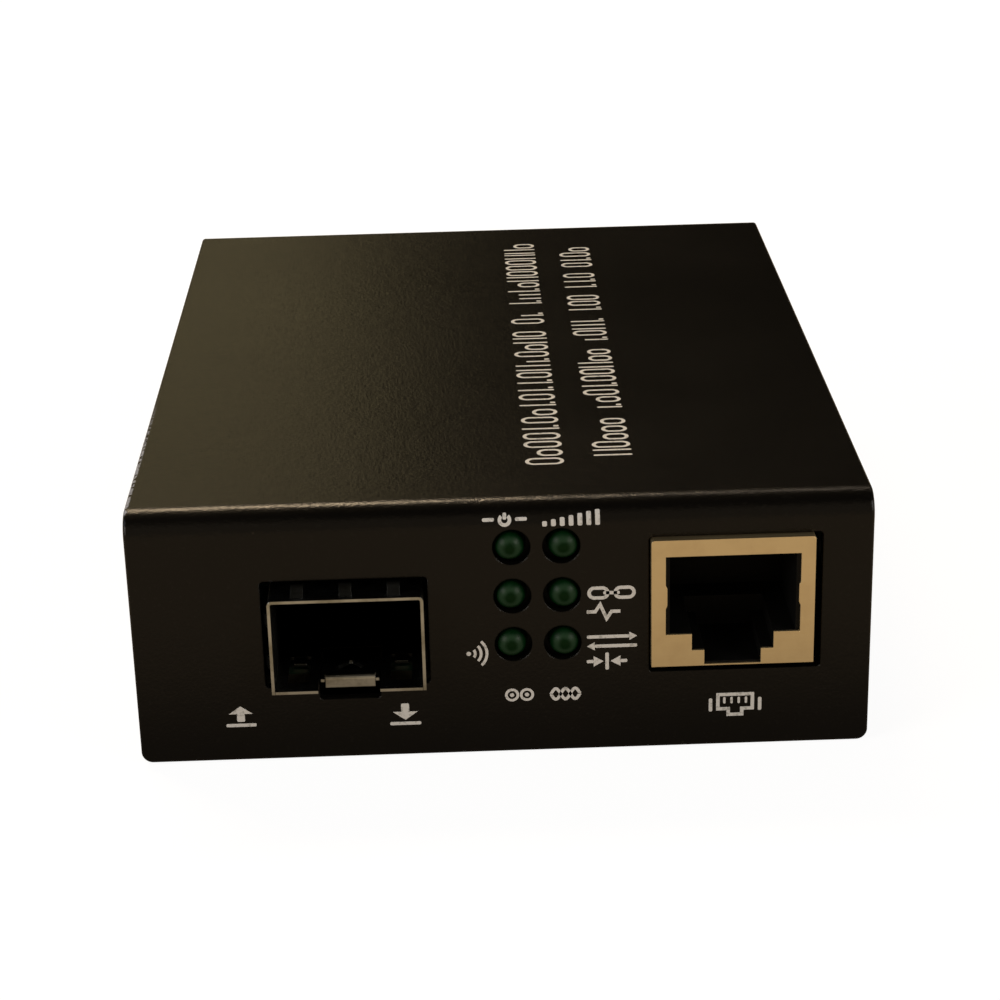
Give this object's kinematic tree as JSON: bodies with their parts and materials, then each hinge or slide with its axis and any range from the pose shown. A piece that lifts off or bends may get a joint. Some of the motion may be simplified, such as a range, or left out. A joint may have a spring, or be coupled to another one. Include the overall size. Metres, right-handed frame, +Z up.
{
  "type": "fibre media converter",
  "caption": "Flat black sheet-metal box joining copper and fibre networks: a shielded network jack, an open optical module slot and indicator lamps in front, a round power inlet behind.",
  "frame": {"origin": "middle of the case's underside, on the surface it stands on", "axes": "+X to the right seen from the front, +Y from the front panel to the rear panel, +Z up"},
  "size_m": [0.0734, 0.096, 0.026],
  "materials": {
    "case_paint": "satin black powder coat with a fine texture",
    "zinc_steel": "bright zinc plate",
    "black_screws": "black oxide",
    "board_laminate": "green solder mask",
    "cage_metal": "bright nickel plate",
    "jack_metal": "satin nickel plate",
    "contact_gold": "thin gold plate",
    "black_plastic": "moulded, matt",
    "lamp_lens": "green tinted epoxy",
    "tinned_metal": "tinned",
    "black_resin": "moulded epoxy",
    "can_metal": "drawn can",
    "ferrite": "sintered, dull",
    "capacitor_ceramic": "fired ceramic",
    "print_ink": "thin white screen print"
  },
  "bodies": {
    "chassis": {"top_cover": "case_paint", "base_tray": "case_paint", "cover_brackets": "zinc_steel", "cover_screws": "black_screws", "board_standoffs": "zinc_steel", "board_screws": "zinc_steel", "circuit_board": "board_laminate", "sfp_cage": "cage_metal", "sfp_cage_floor": "cage_metal", "sfp_connector_body": "black_plastic", "sfp_connector_contacts": "contact_gold", "rj45_shield": "jack_metal", "rj45_housing": "black_plastic", "rj45_contacts": "contact_gold", "lamp_top_left": "lamp_lens", "lamp_top_right": "lamp_lens", "lamp_middle_left": "lamp_lens", "lamp_middle_right": "lamp_lens", "lamp_bottom_left": "lamp_lens", "lamp_bottom_right": "lamp_lens", "lamp_holder": "black_plastic", "lamp_leads": "tinned_metal", "dc_jack_body": "black_plastic", "dc_jack_pin": "jack_metal", "dc_jack_lugs": "tinned_metal", "lan_transformer": "black_resin", "lan_transformer_leads": "tinned_metal", "switch_chip": "black_resin", "phy_chip": "black_resin", "memory_chip": "black_resin", "crystal_can": "can_metal", "power_coil": "ferrite", "power_regulator": "black_resin", "input_fuse": "ferrite", "input_diode": "black_resin", "capacitor_bases": "black_plastic", "capacitor_cans": "can_metal", "small_capacitors": "capacitor_ceramic", "small_resistors": "black_resin"},
    "sfp_latch": {"sfp_latch": "cage_metal"}
  },
  "joints": [
    {"name": "sfp_latch_flex", "type": "hinge", "parent": "chassis", "child": "sfp_latch", "pos_m": [-0.01475, -0.03965, 0.00825], "axis": [1, 0, 0], "range_deg": [0, 8], "stiffness_Nm_per_rad": 0.15}
  ]
}
